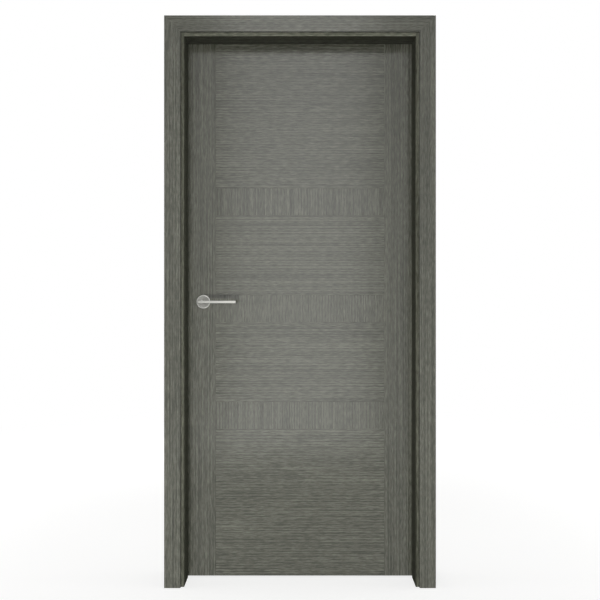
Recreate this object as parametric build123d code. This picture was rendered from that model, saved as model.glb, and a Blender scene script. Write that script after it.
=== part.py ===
# Interior door set: a flush veneered leaf in a rebated lining, with mitred casings on both sides.
# Millimetres, +Z up. The origin lies on the hinge jamb's wall face, at floor level and mid-depth.
# +X points into the wall beside the hinges, and +Y the way the leaf opens.
import os

from build123d import *

# Leaf
leaf_width = 874.0
leaf_height = 2030.0
leaf_thickness = 40.0
stile_width = 117.0
band_height = 102.0
band_pitch = 406.0
latch_bevel = 2.0  # the latch edge's front corner is cut back, so that it swings clear of the jamb
face_arris = 0.4  # fine bevel round each face piece, which shows as a hairline at the joints
tongue_thickness = 10.0
tongue_length = 10.0
tongue_play = 0.2

# Room round the leaf
floor_gap = 4.0
edge_gap = 5.5
stop_gap = 5.0
stop_overlap = 12.0

# Lining and casings
reveal_depth = 90.0  # from the lining's front edge to the leaf's face
lining_thickness = 40.0
lining_arris = 1.0
casing_width = 60.0
casing_thickness = 10.0
casing_edge_radius = 1.5
front_margin = 12.0  # lining edge that shows beside the front casing
back_margin = 10.0  # the same at the back, wide enough for the hinge knuckles

# Seals in the back of the stop
seal_inset = 7.0
seal_width = 7.0
seal_stem_width = 3.0
seal_stem_depth = 6.0
seal_stem_play = 0.1
seal_clearance = 0.3

# Butt hinges
hinge_length = 100.0
hinge_end_distance = 200.0  # from the leaf's top and bottom to the outer hinges' centres
hinge_offset = 8.0  # from the leaf's back face out to the pin
knuckle_diameter = 14.0
knuckle_count = 5
knuckle_gap = 0.4
knuckle_clearance = 0.6
flap_thickness = 2.5
flap_reach = 30.0
flap_corner_radius = 6.0
pin_diameter = 8.0
pin_play = 0.05
pin_cap_height = 3.0
pin_cap_radius = 2.0

# Lever handles
handle_height = 1045.0
handle_backset = 70.0
rose_diameter = 52.0
rose_thickness = 9.0
rose_bevel = 2.0
lever_height = 11.0
lever_depth = 16.0
lever_edge_radius = 3.0
lever_end_radius = 2.0
lever_reach = 129.0  # from the spindle to the lever's free end
lever_overhang = 13.0  # from the spindle back to the lever's other end
lever_projection = 64.0
neck_diameter = 18.0
neck_rim_radius = 3.0
neck_play = 0.3
neck_stand_off = 1.0
spindle_side = 8.0
spindle_play = 0.1
spindle_grip = 30.0  # how far the spindle reaches past each face of the leaf
spindle_bore_diameter = 20.0

# Latch
forend_height = 57.0
forend_width = 25.0
forend_thickness = 3.0
forend_corner_radius = 5.0
bolt_height = 18.0
bolt_width = 12.0
bolt_length = 22.0
bolt_nose_length = 9.0
bolt_tip_width = 2.0
bolt_play = 0.2
strike_height = 70.0
strike_width = 28.0
strike_thickness = 2.0
strike_corner_radius = 4.0
strike_mouth_play = 3.0
strike_pocket_depth = 14.0

# Places that follow from these sizes
hinge_side = 1
latch_side = -1
half_leaf = leaf_width / 2
half_infill = half_leaf - stile_width
half_clear = half_leaf - stop_overlap
half_rebate = half_leaf + edge_gap
half_lining = half_clear + lining_thickness
middle = -half_lining
lining_depth = reveal_depth + leaf_thickness
lining_front = -lining_depth / 2
lining_back = lining_depth / 2
leaf_front = lining_front + reveal_depth
leaf_back = leaf_front + leaf_thickness
leaf_core = (leaf_front + leaf_back) / 2
stop_back = leaf_front - stop_gap
leaf_bottom = floor_gap
leaf_top = leaf_bottom + leaf_height
leaf_centre = leaf_bottom + leaf_height / 2
clear_height = leaf_top - stop_overlap
rebate_height = leaf_top + edge_gap
lining_top = clear_height + lining_thickness
groove_width = tongue_thickness + 2 * tongue_play
groove_depth = tongue_length + tongue_play
slot_width = seal_stem_width + 2 * seal_stem_play
slot_depth = seal_stem_depth + seal_stem_play
hinge_x = middle + half_leaf + edge_gap / 2
hinge_y = leaf_back + hinge_offset
hinge_heights = {
    "bottom": leaf_bottom + hinge_end_distance,
    "middle": leaf_centre,
    "top": leaf_top - hinge_end_distance,
}
spindle_x = middle + latch_side * (half_leaf - handle_backset)

up = (0, 0, 1)
right = (1, 0, 0)
back = (0, 1, 0)
parts = {}


def across(side, offset):
    # X of a point that lies this far from the door's middle line, towards one side
    return middle + side * offset


def rectangle(low_x, high_x, low_y, high_y):
    centre = Pos((low_x + high_x) / 2, (low_y + high_y) / 2)
    return centre * Rectangle(high_x - low_x, high_y - low_y)


def level(height):
    # Horizontal sketch plane
    return Plane.XY.offset(height)


def crosswise(x):
    # Upright sketch plane across the door, with Y and Z as its axes
    return Plane.YZ.offset(x)


def facing(y):
    # Upright sketch plane along the door, with X and Z as its axes
    return Plane(origin=(0, y, 0), x_dir=right, z_dir=(0, -1, 0))


def ease_faces(piece):
    faces = piece.faces().filter_by(Axis.Y).sort_by(Axis.Y)
    return chamfer(faces[0].edges() + faces[-1].edges(), face_arris)


# Hinge geometry comes first, because the stile and the jamb are let in to take the flaps
def hinge_flap(side, height):
    plate = rectangle(leaf_back - flap_reach, hinge_y, height - hinge_length / 2, height + hinge_length / 2)
    plate = fillet(plate.vertices().group_by(Axis.X)[0], flap_corner_radius)
    face = hinge_x + side * edge_gap / 2
    return extrude(crosswise(face) * plate, flap_thickness, dir=(side, 0, 0))


def hinge_cylinder(diameter, low, high):
    circle = level(low) * Pos(hinge_x, hinge_y) * Circle(diameter / 2)
    return extrude(circle, high - low, dir=up)


def hinge_leaf(side, height):
    # Knuckles alternate along the pin: the frame's leaf has the outer ones and every second one between
    bottom = height - hinge_length / 2
    pitch = hinge_length / knuckle_count
    leaf = hinge_flap(side, height)
    knuckles = []
    for index in range(knuckle_count):
        low = bottom + index * pitch
        high = low + pitch
        if (index % 2 == 0) == (side == hinge_side):
            knuckles.append(hinge_cylinder(knuckle_diameter, low + knuckle_gap / 2, high - knuckle_gap / 2))
        else:
            leaf -= hinge_cylinder(knuckle_diameter + 2 * knuckle_clearance, low, high)
    leaf += knuckles
    bore = hinge_cylinder(pin_diameter + 2 * pin_play, bottom, bottom + hinge_length)
    return leaf - bore


def hinge_pin(height):
    reach = hinge_length / 2
    pin = hinge_cylinder(pin_diameter, height - reach, height + reach)
    top_cap = hinge_cylinder(knuckle_diameter, height + reach, height + reach + pin_cap_height)
    top_cap = fillet(top_cap.edges().sort_by(Axis.Z)[-1], pin_cap_radius)
    bottom_cap = hinge_cylinder(knuckle_diameter, height - reach - pin_cap_height, height - reach)
    bottom_cap = fillet(bottom_cap.edges().sort_by(Axis.Z)[0], pin_cap_radius)
    return pin + top_cap + bottom_cap


for place, height in hinge_heights.items():
    parts[f"hinge_{place}_frame_leaf"] = hinge_leaf(hinge_side, height)
    parts[f"hinge_{place}_door_leaf"] = hinge_leaf(latch_side, height)
    parts[f"hinge_{place}_pin"] = hinge_pin(height)

# Latch: a forend let into the leaf's bevelled edge, with the bolt drawn back flush in its mouth
latch_edge = (across(latch_side, half_leaf - latch_bevel / 2), leaf_core, handle_height)
forend_plane = Plane(origin=latch_edge, x_dir=up, z_dir=(-leaf_thickness, -latch_bevel, 0))
bolt_plane = Plane(origin=latch_edge, x_dir=(-latch_bevel, leaf_thickness, 0), z_dir=up)
forend_outline = RectangleRounded(forend_height, forend_width, forend_corner_radius)
bolt_mouth = Rectangle(bolt_height + 2 * bolt_play, bolt_width + 2 * bolt_play)
forend_blank = extrude(forend_plane * forend_outline, -forend_thickness)
bolt_well = extrude(forend_plane * bolt_mouth, -bolt_length - bolt_play)
bolt_profile = make_face(
    Polyline(
        (-bolt_width / 2, -bolt_length),
        (bolt_width / 2, -bolt_length),
        (bolt_width / 2, 0),
        (bolt_width / 2 - bolt_tip_width, 0),
        (-bolt_width / 2, -bolt_nose_length),
        close=True,
    )
)
parts["latch_forend"] = forend_blank - bolt_well
parts["latch_bolt"] = extrude(bolt_plane * bolt_profile, bolt_height / 2, both=True)


# Leaf: full-height stiles, with bands and panels tongued between them and into each other
def stile(side):
    bevel = latch_bevel if side == latch_side else 0
    plan = Polyline(
        (across(side, half_infill), leaf_front),
        (across(side, half_leaf - bevel), leaf_front),
        (across(side, half_leaf), leaf_back),
        (across(side, half_infill), leaf_back),
        close=True,
    )
    blank = ease_faces(extrude(level(leaf_bottom) * make_face(plan), leaf_height, dir=up))
    inner_edge = across(side, half_infill)
    groove_end = across(side, half_infill + groove_depth)
    groove = rectangle(
        min(inner_edge, groove_end),
        max(inner_edge, groove_end),
        leaf_core - groove_width / 2,
        leaf_core + groove_width / 2,
    )
    return blank - extrude(level(leaf_bottom) * groove, leaf_height, dir=up)


def infill(bottom, top, lower_joint, upper_joint):
    # A slab whose long edges carry a tongue, a groove or nothing. Its ends have tongues for the stiles.
    section = rectangle(leaf_front, leaf_back, bottom, top)
    slab = ease_faces(extrude(crosswise(middle - half_infill) * section, 2 * half_infill, dir=right))
    end_low = bottom
    end_high = top
    for joint, edge, outward in ((lower_joint, bottom, -1), (upper_joint, top, 1)):
        if joint == "tongue":
            strip = long_strip(tongue_thickness, edge, edge + outward * tongue_length)
            slab += strip
        elif joint == "groove":
            strip = long_strip(groove_width, edge, edge - outward * groove_depth)
            slab -= strip
            if outward < 0:
                end_low += groove_depth
            else:
                end_high -= groove_depth
    end_tongues = rectangle(
        across(latch_side, half_infill + tongue_length),
        across(hinge_side, half_infill + tongue_length),
        leaf_core - tongue_thickness / 2,
        leaf_core + tongue_thickness / 2,
    )
    return slab + extrude(level(end_low) * end_tongues, end_high - end_low, dir=up)


def long_strip(thickness, from_z, to_z):
    section = rectangle(
        leaf_core - thickness / 2, leaf_core + thickness / 2, min(from_z, to_z), max(from_z, to_z)
    )
    return extrude(crosswise(middle - half_infill) * section, 2 * half_infill, dir=right)


def spindle_hole(diameter, low_y, high_y):
    circle = facing(low_y) * Pos(spindle_x, handle_height) * Circle(diameter / 2)
    return extrude(circle, high_y - low_y, dir=back)


latch_stile = stile(latch_side) - forend_blank - bolt_well
parts["latch_stile"] = latch_stile - spindle_hole(spindle_bore_diameter, leaf_front, leaf_back)
hinge_stile = stile(hinge_side)
for height in hinge_heights.values():
    hinge_stile -= hinge_flap(latch_side, height)
parts["hinge_stile"] = hinge_stile

band_centres = {
    "lower": leaf_centre - band_pitch,
    "middle": leaf_centre,
    "upper": leaf_centre + band_pitch,
}
for place, centre in band_centres.items():
    low_edge = centre - band_height / 2
    parts[f"{place}_band"] = infill(low_edge, low_edge + band_height, "tongue", "tongue")

lower_band_bottom = band_centres["lower"] - band_height / 2
lower_band_top = band_centres["lower"] + band_height / 2
middle_band_bottom = band_centres["middle"] - band_height / 2
middle_band_top = band_centres["middle"] + band_height / 2
upper_band_bottom = band_centres["upper"] - band_height / 2
upper_band_top = band_centres["upper"] + band_height / 2
parts["bottom_panel"] = infill(leaf_bottom, lower_band_bottom, "plain", "groove")
parts["lower_panel"] = infill(lower_band_top, middle_band_bottom, "groove", "groove")
parts["upper_panel"] = infill(middle_band_top, upper_band_bottom, "groove", "groove")
parts["top_panel"] = infill(upper_band_top, leaf_top, "groove", "plain")


# Lining: boards that run full height with the head between them, each doubled by a stop for the leaf
def jamb(side):
    low, high = sorted((across(side, half_rebate), across(side, half_lining)))
    return extrude(rectangle(low, high, lining_front, lining_back), lining_top, dir=up)


def jamb_stop(side):
    low, high = sorted((across(side, half_clear), across(side, half_rebate)))
    board = extrude(rectangle(low, high, lining_front, stop_back), rebate_height, dir=up)
    front_edges = board.edges().filter_by(Axis.Z).group_by(Axis.Y)[0]
    board = fillet(front_edges.sort_by_distance((middle, lining_front, rebate_height / 2))[0], lining_arris)
    slot_middle = across(side, half_clear + seal_inset)
    slot_low, slot_high = slot_middle - slot_width / 2, slot_middle + slot_width / 2
    slot = rectangle(slot_low, slot_high, stop_back - slot_depth, stop_back)
    return board - extrude(slot, rebate_height, dir=up)


def head_stop():
    section = rectangle(lining_front, stop_back, clear_height, rebate_height)
    board = extrude(crosswise(middle - half_clear) * section, 2 * half_clear, dir=right)
    lower_edges = board.edges().filter_by(Axis.X).group_by(Axis.Z)[0]
    board = fillet(lower_edges.sort_by(Axis.Y)[0], lining_arris)
    slot_middle = clear_height + seal_inset
    slot_low, slot_high = slot_middle - slot_width / 2, slot_middle + slot_width / 2
    slot = rectangle(stop_back - slot_depth, stop_back, slot_low, slot_high)
    return board - extrude(crosswise(middle - half_clear) * slot, 2 * half_clear, dir=right)


def head_lining():
    section = rectangle(lining_front, lining_back, rebate_height, lining_top)
    return extrude(crosswise(middle - half_rebate) * section, 2 * half_rebate, dir=right)


strike_x = across(latch_side, half_rebate)
strike_plane = crosswise(strike_x) * Pos(leaf_core, handle_height)
strike_outline = RectangleRounded(strike_width, strike_height, strike_corner_radius)
strike_mouth = Rectangle(bolt_width + 2 * strike_mouth_play, bolt_height + 2 * strike_mouth_play)
strike_blank = extrude(strike_plane * strike_outline, -strike_thickness)
strike_pocket = extrude(strike_plane * strike_mouth, -strike_pocket_depth)
parts["strike_plate"] = strike_blank - strike_pocket

parts["latch_jamb"] = jamb(latch_side) - strike_blank - strike_pocket
hinge_jamb = jamb(hinge_side)
for height in hinge_heights.values():
    hinge_jamb -= hinge_flap(hinge_side, height)
parts["hinge_jamb"] = hinge_jamb
parts["head_lining"] = head_lining()
parts["latch_stop"] = jamb_stop(latch_side)
parts["hinge_stop"] = jamb_stop(hinge_side)
parts["head_stop"] = head_stop()


# Seals: a stem in the stop's slot and a half-round bulb that the shut leaf just meets
def seal(plane, length):
    bulb_height = stop_gap - seal_clearance
    bulb = Ellipse(seal_width / 2, bulb_height) & rectangle(-seal_width / 2, seal_width / 2, 0, bulb_height)
    stem = rectangle(-seal_stem_width / 2, seal_stem_width / 2, -seal_stem_depth, 0)
    return extrude(plane * (bulb + stem), length)


for name, side in (("latch_seal", latch_side), ("hinge_seal", hinge_side)):
    foot = (across(side, half_clear + seal_inset), stop_back, 0)
    parts[name] = seal(Plane(origin=foot, x_dir=right, z_dir=up), rebate_height - seal_clearance)
head_seal_start = (middle - half_clear, stop_back, clear_height + seal_inset)
parts["head_seal"] = seal(Plane(origin=head_seal_start, x_dir=(0, 0, -1), z_dir=right), 2 * half_clear)


# Casings: flat boards with mitred corners, whose outer long edges are rounded
def casing_board(corners, wall_y, outward, long_axis):
    outline = make_face(Polyline(*corners, close=True))
    board = extrude(facing(wall_y) * outline, casing_thickness, dir=(0, outward, 0))
    long_edges = board.edges().filter_by(long_axis).sort_by(Axis.Y)
    outer_edges = long_edges[:2] if outward < 0 else long_edges[-2:]
    return fillet(outer_edges, casing_edge_radius)


def casing(prefix, wall_y, outward, inner_half, inner_height):
    outer_half = inner_half + casing_width
    outer_height = inner_height + casing_width
    for name, side in (("latch", latch_side), ("hinge", hinge_side)):
        leg = (
            (across(side, inner_half), 0),
            (across(side, outer_half), 0),
            (across(side, outer_half), outer_height),
            (across(side, inner_half), inner_height),
        )
        parts[f"{prefix}_{name}_casing"] = casing_board(leg, wall_y, outward, Axis.Z)
    head = (
        (across(latch_side, inner_half), inner_height),
        (across(hinge_side, inner_half), inner_height),
        (across(hinge_side, outer_half), outer_height),
        (across(latch_side, outer_half), outer_height),
    )
    parts[f"{prefix}_head_casing"] = casing_board(head, wall_y, outward, Axis.X)


casing("front", lining_front, -1, half_clear + front_margin, clear_height + front_margin)
casing("back", lining_back, 1, half_rebate + back_margin, rebate_height + back_margin)


# Handles: a lever and a rose on each face of the leaf, with a square spindle between the levers
def along_spindle(sketch, from_y, to_y):
    outward = 1 if to_y > from_y else -1
    plane = facing(from_y) * Pos(spindle_x, handle_height)
    return extrude(plane * sketch, abs(to_y - from_y), dir=(0, outward, 0))


def outer_rim(piece, outward):
    circles = piece.edges().filter_by(GeomType.CIRCLE)
    outermost = circles.group_by(Axis.Y)[-1 if outward > 0 else 0]
    return outermost.sort_by(SortBy.RADIUS)[-1]


def rose(face_y, outward):
    ring = Circle(rose_diameter / 2) - Circle(neck_diameter / 2 + neck_play)
    disc = along_spindle(ring, face_y, face_y + outward * rose_thickness)
    return chamfer(outer_rim(disc, outward), rose_bevel)


def lever(face_y, outward):
    bar_y = face_y + outward * (lever_projection - lever_depth / 2)
    section = Pos(bar_y, handle_height) * RectangleRounded(lever_depth, lever_height, lever_edge_radius)
    length = lever_overhang + lever_reach
    bar = extrude(crosswise(spindle_x - lever_overhang) * section, length, dir=right)
    ends = bar.faces().sort_by(Axis.X)
    bar = fillet(ends[0].edges() + ends[-1].edges(), lever_end_radius)
    neck = along_spindle(Circle(neck_diameter / 2), face_y + outward * neck_stand_off, bar_y)
    neck = fillet(outer_rim(neck, outward), neck_rim_radius)
    socket = Rectangle(spindle_side + 2 * spindle_play, spindle_side + 2 * spindle_play)
    return bar + neck - along_spindle(socket, face_y, face_y + outward * (spindle_grip + spindle_play))


for name, face_y, outward in (("front", leaf_front, -1), ("back", leaf_back, 1)):
    parts[f"{name}_rose"] = rose(face_y, outward)
    parts[f"{name}_lever"] = lever(face_y, outward)
spindle_section = Rectangle(spindle_side, spindle_side)
parts["spindle"] = along_spindle(spindle_section, leaf_front - spindle_grip, leaf_back + spindle_grip)

os.makedirs("parts", exist_ok=True)
for name, piece in parts.items():
    export_step(piece, f"parts/{name}.step")
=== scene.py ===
import math

import bpy
import numpy as np
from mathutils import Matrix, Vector


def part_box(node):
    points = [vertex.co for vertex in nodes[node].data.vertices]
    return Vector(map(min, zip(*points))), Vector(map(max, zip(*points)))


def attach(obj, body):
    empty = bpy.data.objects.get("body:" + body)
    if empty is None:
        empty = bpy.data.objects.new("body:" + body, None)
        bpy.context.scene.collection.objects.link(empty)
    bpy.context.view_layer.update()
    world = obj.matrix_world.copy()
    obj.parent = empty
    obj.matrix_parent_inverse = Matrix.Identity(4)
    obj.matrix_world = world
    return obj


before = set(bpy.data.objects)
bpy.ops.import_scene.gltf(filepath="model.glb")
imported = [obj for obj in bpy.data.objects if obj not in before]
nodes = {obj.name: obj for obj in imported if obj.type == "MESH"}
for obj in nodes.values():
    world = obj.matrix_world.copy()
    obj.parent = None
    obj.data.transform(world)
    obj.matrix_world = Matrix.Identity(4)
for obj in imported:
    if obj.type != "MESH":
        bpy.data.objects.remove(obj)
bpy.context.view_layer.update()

# Interior door set in grey-green stained oak veneer, with satin steel levers, seen straight on
scene = bpy.context.scene
scene.view_settings.view_transform = "Standard"
millimetre = 0.001


def middleOf(name):
    low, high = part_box(name)
    return (low + high) / 2


doorMiddle = middleOf("front_head_casing").x
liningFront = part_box("latch_stop")[0].y
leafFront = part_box("middle_band")[0].y
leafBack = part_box("middle_band")[1].y
spindleCentre = middleOf("spindle")
print("frame loaded:", len(nodes), "nodes")


# Colour as written in sRGB, turned to the linear values that shaders take
def linear(hexColour):
    channels = np.array([int(hexColour[i:i + 2], 16) for i in (1, 3, 5)]) / 255
    value = np.where(channels <= 0.04045, channels / 12.92, ((channels + 0.055) / 1.055) ** 2.4)
    return (*value.tolist(), 1.0)


# Adds a node, sets its properties and unlinked sockets, and links the others
def addNode(tree, kind, settings=None, links=None):
    node = tree.nodes.new(kind)
    for key, value in (settings or {}).items():
        if isinstance(key, str) and hasattr(node, key):
            setattr(node, key, value)
        else:
            node.inputs[key].default_value = value
    for key, source in (links or {}).items():
        tree.links.new(source, node.inputs[key])
    return node


def newMaterial(name):
    material = bpy.data.materials.new(name)
    material.use_nodes = True
    material.node_tree.nodes.clear()
    return material, material.node_tree


def finishMaterial(tree, shader):
    addNode(tree, "ShaderNodeOutputMaterial", links={"Surface": shader.outputs[0]})


# Stained oak veneer, rift cut and lacquered satin: straight fine streaks, short dark pores, a soft sheen.
# Sizes across and along the grain are in millimetres.
oakVeneer = {
    "dark": "#3f4037",
    "middle": "#606156",
    "light": "#818275",
    "pore": "#30312a",
    "figure": (30, 900),  # slow changes of tone
    "streak": (2.3, 700),
    "fleck": (1.9, 26),
    "poreSize": (0.5, 14),  # real pores are half as wide, too fine to show here
    "ringWidth": 11,  # from one growth ring to the next
    "figureShare": 0.08,
    "streakShare": 1.1,
    "fleckShare": 0.95,
    "ringShare": 0.1,
    "poreShare": 0.55,
    "poreRange": (0.54, 0.66),  # noise values where a pore begins and is full
    "poreDepth": 0.12,
    "poreBump": 0.5,
    "toneStops": (0.05, 0.5, 0.95),  # where the dark, middle and light colours stand
    "middleTone": 0.5,
    "lacquerIor": 1.5,
    "noiseRoughness": 0.55,
    "ringStretch": 0.03,  # the rings wander slowly along the board
    "ringWander": {"Distortion": 3.0, "Detail": 2.0, "Detail Scale": 0.4},
}
satinLacquer = {"roughness": (0.14, 0.24), "specular": 0.5, "tone": 0.0}
mattOil = {"roughness": (0.6, 0.8), "specular": 0.0, "tone": 0.0}
# The lining's front edge is painted lighter, a painted light, and its stops are painted darker inside, a
# painted
# shade that keeps the reveal deep: gains on the colour at the front and inside
paintedLiningLightAndShade = {
    "latch_jamb": (1.25, 1.0),
    "hinge_jamb": (1.25, 1.0),
    "head_lining": (1.8, 1.0),
    "latch_stop": (1.25, 0.85),
    "hinge_stop": (1.25, 0.5),
    "head_stop": (1.8, 0.4),
}
paintedLightDepth = (1, 4)  # millimetres behind the front, over which the painted light gives way
paintedShadowLine = {"width": (0.8, 1.8), "gain": 0.4}  # painted shade: a dark line along the casings' inner edges, where they meet the lining
contrast = {"upright": 1.5, "level": 1.7}
alongAxis = {"upright": 2, "level": 0}


# Noise stretched along the grain: each axis is divided by a streak's width, the grain's own by its length
def grainNoise(tree, coordinates, size, grain, place, detail):
    width, length = size
    scale = [1 / (width * millimetre)] * 3
    scale[alongAxis[grain]] = 1 / (length * millimetre)
    mapping = addNode(
        tree, "ShaderNodeMapping", {"Scale": scale, "Location": place}, {"Vector": coordinates}
    )
    noise = addNode(
        tree,
        "ShaderNodeTexNoise",
        {"Scale": 1.0, "Detail": detail, "Roughness": oakVeneer["noiseRoughness"]},
        {"Vector": mapping.outputs[0]},
    )
    return noise.outputs[0]


# Growth rings cut along the grain: waves across it, whose crests wander by a slow noise
def ringWaves(tree, coordinates, width, grain, place):
    scale = [1, 1, 1]
    scale[alongAxis[grain]] = oakVeneer["ringStretch"]
    mapping = addNode(
        tree, "ShaderNodeMapping", {"Scale": scale, "Location": place}, {"Vector": coordinates}
    )
    waves = addNode(
        tree,
        "ShaderNodeTexWave",
        {
            "bands_direction": "X" if grain == "upright" else "Z",
            "Scale": math.pi / (10 * width * millimetre),  # the node draws 20 radians for each unit
            **oakVeneer["ringWander"],
        },
        {"Vector": mapping.outputs[0]},
    )
    return waves.outputs["Fac"]


# The start value plus each source times its weight
def weightedSum(tree, terms, start):
    total = None
    for source, weight in terms:
        links = {0: source} if total is None else {0: source, 2: total}
        settings = {"operation": "MULTIPLY_ADD", 1: weight}
        if total is None:
            settings[2] = start
        total = addNode(tree, "ShaderNodeMath", settings, links).outputs[0]
    return total


# Layers of noise add up to a tone, which a ramp turns to colour; pores darken it and sink in
def veneerMaterial(name, grain, place, finish):
    look = oakVeneer
    material, tree = newMaterial(name)
    coordinates = addNode(tree, "ShaderNodeTexCoord").outputs["Object"]
    figure = grainNoise(tree, coordinates, look["figure"], grain, place, 2.0)
    streak = grainNoise(tree, coordinates, look["streak"], grain, place, 3.0)
    fleck = grainNoise(tree, coordinates, look["fleck"], grain, place, 1.0)
    pore = grainNoise(tree, coordinates, look["poreSize"], grain, place, 1.0)
    rings = ringWaves(tree, coordinates, look["ringWidth"], grain, place)
    layers = {"figureShare": figure, "streakShare": streak, "fleckShare": fleck, "ringShare": rings}
    shares = [contrast[grain] * look[share] for share in layers]
    start = look["middleTone"] + finish["tone"] - sum(shares) / 2
    tone = weightedSum(tree, zip(layers.values(), shares), start)
    ramp = addNode(tree, "ShaderNodeValToRGB", links={0: tone})
    darkStop, middleStop, lightStop = look["toneStops"]
    stops = ramp.color_ramp.elements
    stops[0].position = darkStop
    stops[0].color = linear(look["dark"])
    stops[1].position = lightStop
    stops[1].color = linear(look["light"])
    stops.new(middleStop).color = linear(look["middle"])
    poreStart, poreFull = look["poreRange"]
    poreMask = addNode(
        tree,
        "ShaderNodeMapRange",
        {"From Min": poreStart, "From Max": poreFull, "To Max": look["poreShare"]},
        {0: pore},
    ).outputs[0]
    colour = addNode(
        tree,
        "ShaderNodeMix",
        {"data_type": "RGBA", 7: linear(look["pore"])},
        {0: poreMask, 6: ramp.outputs[0]},
    ).outputs[2]
    if "edge" in finish:
        # the colour is multiplied by a gain that changes from one value to another across the edge: painted
        # light at the linings' fronts, painted shade inside their stops and along the casings' inner edges
        axis, start, end, gains = finish["edge"]
        along = addNode(tree, "ShaderNodeSeparateXYZ", links={0: coordinates}).outputs[axis]
        gain = addNode(
            tree,
            "ShaderNodeMapRange",
            {"From Min": start, "From Max": end, "To Min": gains[0], "To Max": gains[1]},
            {0: along},
        ).outputs[0]
        colour = addNode(
            tree, "ShaderNodeVectorMath", {"operation": "SCALE"}, {0: colour, "Scale": gain}
        ).outputs[0]
    low, high = finish["roughness"]
    roughness = addNode(
        tree, "ShaderNodeMapRange", {"To Min": low, "To Max": high}, {0: streak}
    ).outputs[0]
    bump = addNode(
        tree,
        "ShaderNodeBump",
        {"invert": True, "Strength": look["poreBump"], "Distance": look["poreDepth"] * millimetre},
        {"Height": poreMask},
    )
    shader = addNode(
        tree,
        "ShaderNodeBsdfPrincipled",
        {"IOR": look["lacquerIor"], "Specular IOR Level": finish["specular"]},
        {"Base Color": colour, "Roughness": roughness, "Normal": bump.outputs[0]},
    )
    finishMaterial(tree, shader)
    return material


# Each board is cut from its own sheet, so its grain starts at another place in the noise
levelPieces = [
    "bottom_panel", "lower_panel", "upper_panel", "top_panel",
    "front_head_casing", "back_head_casing", "head_lining", "head_stop",
]
uprightPieces = [
    "latch_stile", "hinge_stile", "lower_band", "middle_band", "upper_band",
    "latch_jamb", "hinge_jamb", "latch_stop", "hinge_stop",
    "front_latch_casing", "front_hinge_casing", "back_latch_casing", "back_hinge_casing",
]
# the bottom panel is painted a little lighter: painted light where the foot of the leaf is lit less
finishes = {"bottom_panel": dict(satinLacquer, tone=0.05)}
# painted light at the front of each lining piece, and painted shade inside its stop
paintedLightStart, paintedLightEnd = (liningFront + depth * millimetre for depth in paintedLightDepth)
for name, gains in paintedLiningLightAndShade.items():
    finishes[name] = dict(mattOil, edge=("Y", paintedLightStart, paintedLightEnd, gains))
# each casing's inner edge, painted darker as a painted shadow line: its axis, the corner of the box on that
# edge, and the way into the board
innerEdges = {"latch_casing": ("X", 1, -1), "hinge_casing": ("X", 0, 1), "head_casing": ("Z", 0, 1)}
for piece, (axis, corner, way) in innerEdges.items():
    for side in ("front", "back"):
        edge = getattr(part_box(f"{side}_{piece}")[corner], axis.lower())
        near, far = (edge + way * width * millimetre for width in paintedShadowLine["width"])
        gains = (paintedShadowLine["gain"], 1.0)
        finishes[f"{side}_{piece}"] = dict(satinLacquer, edge=(axis, near, far, gains))
sheetStep = (3.7, 5.3, 7.9)  # how far apart the sheets lie, in noise cells


def dressVeneer():
    for grain, names in (("level", levelPieces), ("upright", uprightPieces)):
        for index, name in enumerate(names):
            place = [(index + 1) * step for step in sheetStep]
            finish = finishes.get(name, satinLacquer)
            material = veneerMaterial(f"oakVeneer.{name}", grain, place, finish)
            nodes[name].material_slots[0].material = material


dressVeneer()
print("veneer on", len(levelPieces) + len(uprightPieces), "boards")

# Stainless steel, ground satin: fine parallel scratches that spread the highlights across them
satinSteel = {
    "colour": "#a9a9a4",
    "shade": "#9b9b96",
    "scratch": (0.5, 40),  # real scratches are a tenth as wide, too fine to show here
    "roughness": (0.24, 0.36),
    "scratchDepth": 0.01,
    "scratchBump": 0.3,
}


def steelMaterial(name, axis, look):
    material, tree = newMaterial(name)
    coordinates = addNode(tree, "ShaderNodeTexCoord").outputs["Object"]
    scratch = grainNoise(tree, coordinates, look["scratch"], axis, (0, 0, 0), 2.0)
    return shadeSteel(material, tree, scratch, look)


def shadeSteel(material, tree, scratch, look, rimHighlight=None, tangent=None):
    colour = addNode(
        tree,
        "ShaderNodeMix",
        {"data_type": "RGBA", 6: linear(look["shade"]), 7: linear(look["colour"])},
        {0: scratch},
    ).outputs[2]
    # the rim is painted lighter: a painted highlight
    if rimHighlight:
        colour = addNode(
            tree, "ShaderNodeMix", {"data_type": "RGBA", 7: linear(look["rimHighlight"])}, {0: rimHighlight, 6: colour}
        ).outputs[2]
    low, high = look["roughness"]
    roughness = addNode(
        tree, "ShaderNodeMapRange", {"To Min": low, "To Max": high}, {0: scratch}
    ).outputs[0]
    bump = addNode(
        tree,
        "ShaderNodeBump",
        {"Strength": look["scratchBump"], "Distance": look["scratchDepth"] * millimetre},
        {"Height": scratch},
    )
    links = {"Base Color": colour, "Roughness": roughness, "Normal": bump.outputs[0]}
    settings = {"Metallic": 1.0}
    if rimHighlight:
        # rings of scratches stretch a highlight into a bow tie
        settings["Anisotropic"] = look["stretch"]
        links["Tangent"] = tangent
    shader = addNode(tree, "ShaderNodeBsdfPrincipled", settings, links)
    finishMaterial(tree, shader)
    return material


# The roses are turned, so their scratches are rings: noise on the distance from the spindle alone
# The rose's steel is darker than the lever's: painted shade on its face
turnedSteel = dict(
    satinSteel,
    colour="#868681",
    shade="#747470",
    roughness=(0.3, 0.4),
    rimHighlight="#cfcfca",
    face=22.8,  # beyond this radius the rim is painted lighter, a painted highlight
    rimBlend=0.4,
    stretch=0.8,
)


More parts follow.
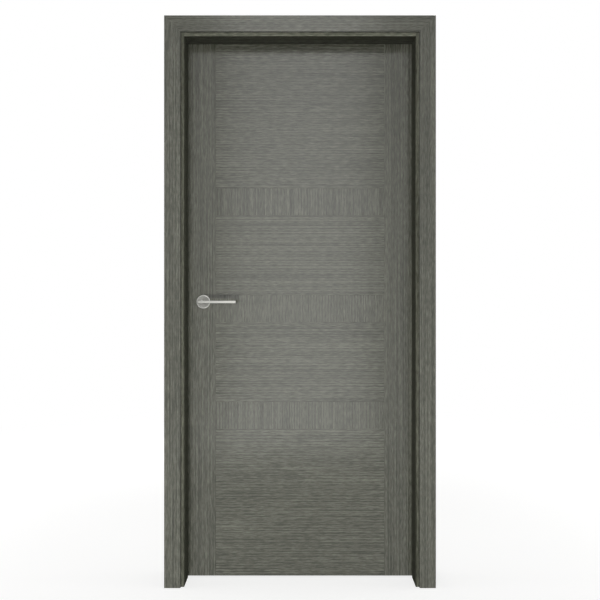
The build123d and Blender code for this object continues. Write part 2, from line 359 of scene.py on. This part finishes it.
def turnedMaterial(name):
    material, tree = newMaterial(name)
    coordinates = addNode(tree, "ShaderNodeTexCoord").outputs["Object"]
    centred = addNode(
        tree,
        "ShaderNodeMapping",
        {"vector_type": "TEXTURE", "Location": spindleCentre},
        {"Vector": coordinates},
    )
    flat = addNode(
        tree, "ShaderNodeVectorMath", {"operation": "MULTIPLY", 1: (1, 0, 1)}, {0: centred.outputs[0]}
    )
    radius = addNode(tree, "ShaderNodeVectorMath", {"operation": "LENGTH"}, {0: flat.outputs[0]})
    rings = addNode(
        tree,
        "ShaderNodeTexNoise",
        {"noise_dimensions": "1D", "Scale": 1 / (satinSteel["scratch"][0] * millimetre), "Detail": 2.0},
        {"W": radius.outputs["Value"]},
    )
    face, blend = turnedSteel["face"] * millimetre, turnedSteel["rimBlend"] * millimetre
    rimHighlight = addNode(
        tree,
        "ShaderNodeMapRange",
        {"From Min": face - blend, "From Max": face + blend},
        {0: radius.outputs["Value"]},
    )
    around = addNode(
        tree,
        "ShaderNodeVectorMath",
        {"operation": "CROSS_PRODUCT", 1: (0, 1, 0)},
        {0: flat.outputs[0]},
    )
    tangent = addNode(
        tree,
        "ShaderNodeVectorTransform",
        {"convert_from": "OBJECT", "convert_to": "WORLD"},
        {0: around.outputs[0]},
    )
    return shadeSteel(material, tree, rings.outputs[0], turnedSteel, rimHighlight.outputs[0], tangent.outputs[0])


# Soft black rubber for the seals: dull, with a faint bloom
sealRubber = {"colour": "#1b1b1a", "bloom": "#262624", "cloud": 9, "roughness": 0.7}  # cloud in millimetres


def rubberMaterial():
    look = sealRubber
    material, tree = newMaterial("sealRubber")
    coordinates = addNode(tree, "ShaderNodeTexCoord").outputs["Object"]
    cloud = addNode(
        tree, "ShaderNodeTexNoise", {"Scale": 1 / (look["cloud"] * millimetre)}, {"Vector": coordinates}
    )
    colour = addNode(
        tree,
        "ShaderNodeMix",
        {"data_type": "RGBA", 6: linear(look["colour"]), 7: linear(look["bloom"])},
        {0: cloud.outputs[0]},
    )
    shader = addNode(
        tree,
        "ShaderNodeBsdfPrincipled",
        {"Roughness": look["roughness"]},
        {"Base Color": colour.outputs[2]},
    )
    finishMaterial(tree, shader)
    return material


hingePlaces = ["bottom", "middle", "top"]
steelLevel = steelMaterial("satinSteel.level", "level", satinSteel)
steelUpright = steelMaterial("satinSteel.upright", "upright", satinSteel)
steelTurned = turnedMaterial("satinSteel.turned")
rubber = rubberMaterial()


def dressMetal():
    for name in ("front_lever", "back_lever", "spindle"):
        nodes[name].material_slots[0].material = steelLevel
    for name in ("front_rose", "back_rose"):
        nodes[name].material_slots[0].material = steelTurned
    hingePieces = ("frame_leaf", "door_leaf", "pin")
    hinges = [f"hinge_{place}_{piece}" for place in hingePlaces for piece in hingePieces]
    for name in hinges + ["latch_forend", "latch_bolt", "strike_plate"]:
        nodes[name].material_slots[0].material = steelUpright
    for name in ("latch_seal", "hinge_seal", "head_seal"):
        nodes[name].material_slots[0].material = rubber


dressMetal()
print("metal and rubber dressed")

# Raised countersunk screw: a shallow dome, less a cross that sinks in with soft edges; sizes in millimetres
crossScrew = {
    "radius": 3.8,
    "rise": 0.8,
    "arm": 2.3,
    "armWidth": 0.95,
    "sink": 0.65,
    "soft": 0.3,
    "skirt": 0.1,
    "lowest": 0.06,  # the recess stays this far above the plate
}
smallScrew = dict(crossScrew, radius=3.0, rise=0.6, arm=1.8, armWidth=0.8, sink=0.5)
grubScrew = {
    "radius": 2.2,
    "rise": 0.35,
    "socket": 1.15,
    "sink": 0.3,
    "soft": 0.2,
    "skirt": 0.4,
    "lowest": 0.06,
    "corners": 6,
}
screwGrid = (26, 72)  # rings and angles


# Height above the plate: the dome falls with the square of the radius, and the recess is taken from it
def screwHeights(look, x, y):
    def inside(distance):
        return np.clip(0.5 - distance / look["soft"], 0, 1)

    dome = look["rise"] * (1 - (np.hypot(x, y) / look["radius"]) ** 2)
    if "corners" in look:
        # a socket with flat sides: the largest of the distances to its sides
        turns = np.arange(look["corners"]) * 2 * math.pi / look["corners"]
        sides = [x * math.cos(turn) + y * math.sin(turn) for turn in turns]
        recess = inside(np.max(sides, axis=0) - look["socket"])
    else:
        half = look["armWidth"] / 2
        upright = inside(np.abs(x) - half) * inside(np.abs(y) - look["arm"])
        level = inside(np.abs(y) - half) * inside(np.abs(x) - look["arm"])
        recess = np.maximum(upright, level)
    return np.maximum(dome - look["sink"] * recess, look["lowest"] * (dome > 0))


# Heads stand on points of a face: rings of points round each, lifted outwards by the heights, with a base
def addScrews(name, body, look, points, outward):
    rings, angles = screwGrid
    radius = np.linspace(0, look["radius"], rings + 1)[1:, None]
    angle = np.arange(angles)[None, :] * 2 * math.pi / angles
    x = np.concatenate([[0.0], (radius * np.cos(angle)).ravel()])
    y = np.concatenate([[0.0], (radius * np.sin(angle)).ravel()])
    height = screwHeights(look, x, y)
    height[-angles:] = -look["skirt"]
    normal = np.array(outward) / np.linalg.norm(outward)
    first = np.cross(normal, (0, 0, 1) if abs(normal[2]) < 0.9 else (1, 0, 0))
    first = first / np.linalg.norm(first)
    second = np.cross(normal, first)
    head = (x[:, None] * first + y[:, None] * second + height[:, None] * normal) * millimetre
    ring = 1 + np.arange(rings * angles).reshape(rings, angles)
    after = np.roll(ring, -1, axis=1)
    fan = [(0, int(i), int(j)) for i, j in zip(ring[0], after[0])]
    quads = np.stack([ring[:-1], ring[1:], after[1:], after[:-1]], axis=-1).reshape(-1, 4).tolist()
    base = [ring[-1, ::-1].tolist()]
    vertices = np.concatenate([head + np.array(point) for point in points])
    headFaces = fan + quads + base
    faces = [[i + k * len(head) for i in face] for k in range(len(points)) for face in headFaces]
    mesh = bpy.data.meshes.new(name)
    mesh.from_pydata(vertices.tolist(), [], faces)
    mesh.polygons.foreach_set("use_smooth", [len(face) < angles for face in faces])
    mesh.materials.append(steelUpright)
    piece = bpy.data.objects.new(name, mesh)
    scene.collection.objects.link(piece)
    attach(piece, body)


# Three screws to each hinge flap, two to the forend and to the strike, one under each lever's neck
hingeScrews = {"across": (13, 19, 13), "along": (-34, 0, 34)}  # from the flap's edge and the hinge's middle
latchScrews = {"forend": 22.5, "strike": 28.5}  # above and below the latch
grubPlace = 0.85  # share of the way from the rose to the lever
edgeLean = (2, 40)  # the leaf's latch edge leans by 2 mm in its thickness


def addAllScrews():
    flaps = (
        ("frame_leaf", "frame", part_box("hinge_stop")[1].x, -1),
        ("door_leaf", "leaf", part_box("hinge_stile")[1].x, 1),
    )
    for place in hingePlaces:
        for piece, body, face, way in flaps:
            name = f"hinge_{place}_{piece}"
            edge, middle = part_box(name)[0].y, middleOf(name).z
            points = [
                (face, edge + across * millimetre, middle + along * millimetre)
                for across, along in zip(hingeScrews["across"], hingeScrews["along"])
            ]
            addScrews(f"{name}_screws", body, crossScrew, points, (way, 0, 0))
    thickness = (leafFront + leafBack) / 2
    lean, leafDepth = edgeLean
    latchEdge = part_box("latch_stile")[0].x + lean / 2 * millimetre
    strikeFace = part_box("strike_plate")[1].x
    for name, body, face, outward in (
        ("forend", "leaf", latchEdge, (-leafDepth, -lean, 0)),
        ("strike", "frame", strikeFace, (1, 0, 0)),
    ):
        reach = latchScrews[name] * millimetre
        points = [(face, thickness, spindleCentre.z + way * reach) for way in (-1, 1)]
        addScrews(f"{name}_screws", body, smallScrew, points, outward)
    for side in ("front", "back"):
        lever, rose = middleOf(f"{side}_lever"), middleOf(f"{side}_rose")
        neckDepth = lever.y * grubPlace + rose.y * (1 - grubPlace)
        neck = (spindleCentre.x, neckDepth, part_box(f"{side}_lever")[0].z)
        addScrews(f"{side}_lever_grub_screw", "handle", grubScrew, [neck], (0, 0, -1))


addAllScrews()
print("screws set")

# Level camera on the door's middle line, with the frame dropped to take in the floor
photoCamera = {
    "lens": 40.88,
    "sensor": 36,
    "distance": 2.5,
    "eyeHeight": 1.0882,
    "drop": 0.016,  # share of the frame
}


def addCamera():
    data = bpy.data.cameras.new("photoCamera")
    data.lens = photoCamera["lens"]
    data.sensor_width = photoCamera["sensor"]
    data.shift_y = -photoCamera["drop"]
    camera = bpy.data.objects.new("photoCamera", data)
    camera.location = (doorMiddle, liningFront - photoCamera["distance"], photoCamera["eyeHeight"])
    camera.rotation_euler = (math.pi / 2, 0, 0)
    scene.collection.objects.link(camera)
    scene.camera = camera


addCamera()
print("camera set")

# Studio: before each side a tall box for the sheen, a wide fill and a small low key; boxes above and beside
studio = {
    "boxSize": (0.8, 2.6),
    "boxFoot": 0.2,
    "boxDistance": 1.2,
    "boxPower": 11.8,
    "fillSize": (6.0, 2.6),
    "fillMiddle": 1.7,
    "fillDistance": 5.0,
    "fillPower": 32.0,
    "keyPlace": (-0.5, 2.6, 0.08),  # from the door's middle, the leaf's face and the floor
    "keySize": 0.2,
    "keyPower": 35.0,
    "topSize": (3.0, 2.0),
    "topHeight": 4.0,
    "topPower": 40.0,
    "sideSize": (1.6, 2.2),
    "sideDistance": 3.5,  # from the door's middle
    "sidePower": 45.0,
    "ambient": 0.06,
    "floorColour": "#e8e8e6",
    "floorGlow": 0.5,
    "floorLevel": 1.52,
    "floorFade": (1.0, 3.6),  # distances over which the floor turns to the white of the background
    "floorSize": 30.0,
    "floorTop": -0.0003,  # a hair below the door's feet
}


def addLight(name, size, power, place, target, mirrored=True, diffuse=True):
    data = bpy.data.lights.new(name, "AREA")
    data.shape = "RECTANGLE"
    data.size, data.size_y = size
    data.energy = power
    light = bpy.data.objects.new(name, data)
    light.location = place
    light.rotation_euler = (Vector(target) - Vector(place)).to_track_quat("-Z", "Y").to_euler()
    light.visible_camera = False
    light.visible_glossy = mirrored
    light.visible_diffuse = diffuse
    scene.collection.objects.link(light)


def addStudio():
    boxMiddle = studio["boxFoot"] + studio["boxSize"][1] / 2
    fillMiddle = studio["fillMiddle"]
    right, out, up = studio["keyPlace"]
    keySize = (studio["keySize"], studio["keySize"])
    for side, face, way in (("front", leafFront, -1), ("back", leafBack, 1)):
        # the box shows in reflections alone, the fill and the key only light the matt part of the surfaces
        place = (doorMiddle, face + way * studio["boxDistance"], boxMiddle)
        target = (doorMiddle, face, boxMiddle)
        addLight(f"{side}Box", studio["boxSize"], studio["boxPower"], place, target, diffuse=False)
        place = (doorMiddle, face + way * studio["fillDistance"], fillMiddle)
        target = (doorMiddle, face, fillMiddle)
        addLight(f"{side}Fill", studio["fillSize"], studio["fillPower"], place, target, mirrored=False)
        place = (doorMiddle + right, face + way * out, up)
        target = (doorMiddle, face, spindleCentre.z)
        addLight(f"{side}Key", keySize, studio["keyPower"], place, target, mirrored=False)
    place = (doorMiddle, 0, studio["topHeight"])
    addLight("topBox", studio["topSize"], studio["topPower"], place, (doorMiddle, 0, 0))
    sideMiddle = studio["sideSize"][1] / 2
    for name, way in (("latchSideBox", -1), ("hingeSideBox", 1)):
        place = (doorMiddle + way * studio["sideDistance"], 0, sideMiddle)
        addLight(name, studio["sideSize"], studio["sidePower"], place, (doorMiddle, 0, sideMiddle))


# 1 for rays from the camera, and for those that come by a reflection or through glass
def seenDirectly(tree):
    path = addNode(tree, "ShaderNodeLightPath").outputs
    seen = path["Is Camera Ray"]
    for ray in ("Is Glossy Ray", "Is Transmission Ray"):
        seen = addNode(tree, "ShaderNodeMath", {"operation": "MAXIMUM"}, {0: seen, 1: path[ray]}).outputs[0]
    return seen


def addSurroundings():
    world = bpy.data.worlds.new("whiteStudio")
    scene.world = world
    world.use_nodes = True
    tree = world.node_tree
    tree.nodes.clear()
    strength = addNode(
        tree, "ShaderNodeMapRange", {"To Min": studio["ambient"], "To Max": 1.0}, {0: seenDirectly(tree)}
    )
    background = addNode(
        tree, "ShaderNodeBackground", {"Color": (1, 1, 1, 1)}, {"Strength": strength.outputs[0]}
    )
    addNode(tree, "ShaderNodeOutputWorld", links={"Surface": background.outputs[0]})


# The floor glows a little for the camera, so that it is nearly white and still takes the door's shadow
def addFloor():
    half = studio["floorSize"] / 2
    ways = ((-1, -1), (1, -1), (1, 1), (-1, 1))
    corners = [(doorMiddle + x * half, y * half, studio["floorTop"]) for x, y in ways]
    mesh = bpy.data.meshes.new("paleFloor")
    mesh.from_pydata(corners, [], [(0, 1, 2, 3)])
    floor = bpy.data.objects.new("paleFloor", mesh)
    scene.collection.objects.link(floor)
    material, tree = newMaterial("paleFloor")
    coordinates = addNode(tree, "ShaderNodeTexCoord").outputs["Object"]
    distance = addNode(
        tree, "ShaderNodeVectorMath", {"operation": "DISTANCE", 1: (doorMiddle, 0, 0)}, {0: coordinates}
    )
    near, far = studio["floorFade"]
    fade = {"interpolation_type": "SMOOTHSTEP", "From Min": near, "From Max": far}
    share = addNode(
        tree,
        "ShaderNodeMapRange",
        dict(fade, **{"To Min": studio["floorGlow"], "To Max": 1.0}),
        {0: distance.outputs["Value"]},
    )
    level = addNode(
        tree,
        "ShaderNodeMapRange",
        dict(fade, **{"To Min": studio["floorLevel"], "To Max": 1.0}),
        {0: distance.outputs["Value"]},
    )
    seen = addNode(
        tree, "ShaderNodeMath", {"operation": "MULTIPLY"}, {0: share.outputs[0], 1: seenDirectly(tree)}
    )
    matt = addNode(tree, "ShaderNodeBsdfDiffuse", {"Color": linear(studio["floorColour"])})
    glow = addNode(tree, "ShaderNodeEmission", {"Color": (1, 1, 1, 1)}, {"Strength": level.outputs[0]})
    mixed = addNode(
        tree, "ShaderNodeMixShader", links={0: seen.outputs[0], 1: matt.outputs[0], 2: glow.outputs[0]}
    )
    finishMaterial(tree, mixed)
    mesh.materials.append(material)


addStudio()
addSurroundings()
addFloor()
print("studio set")
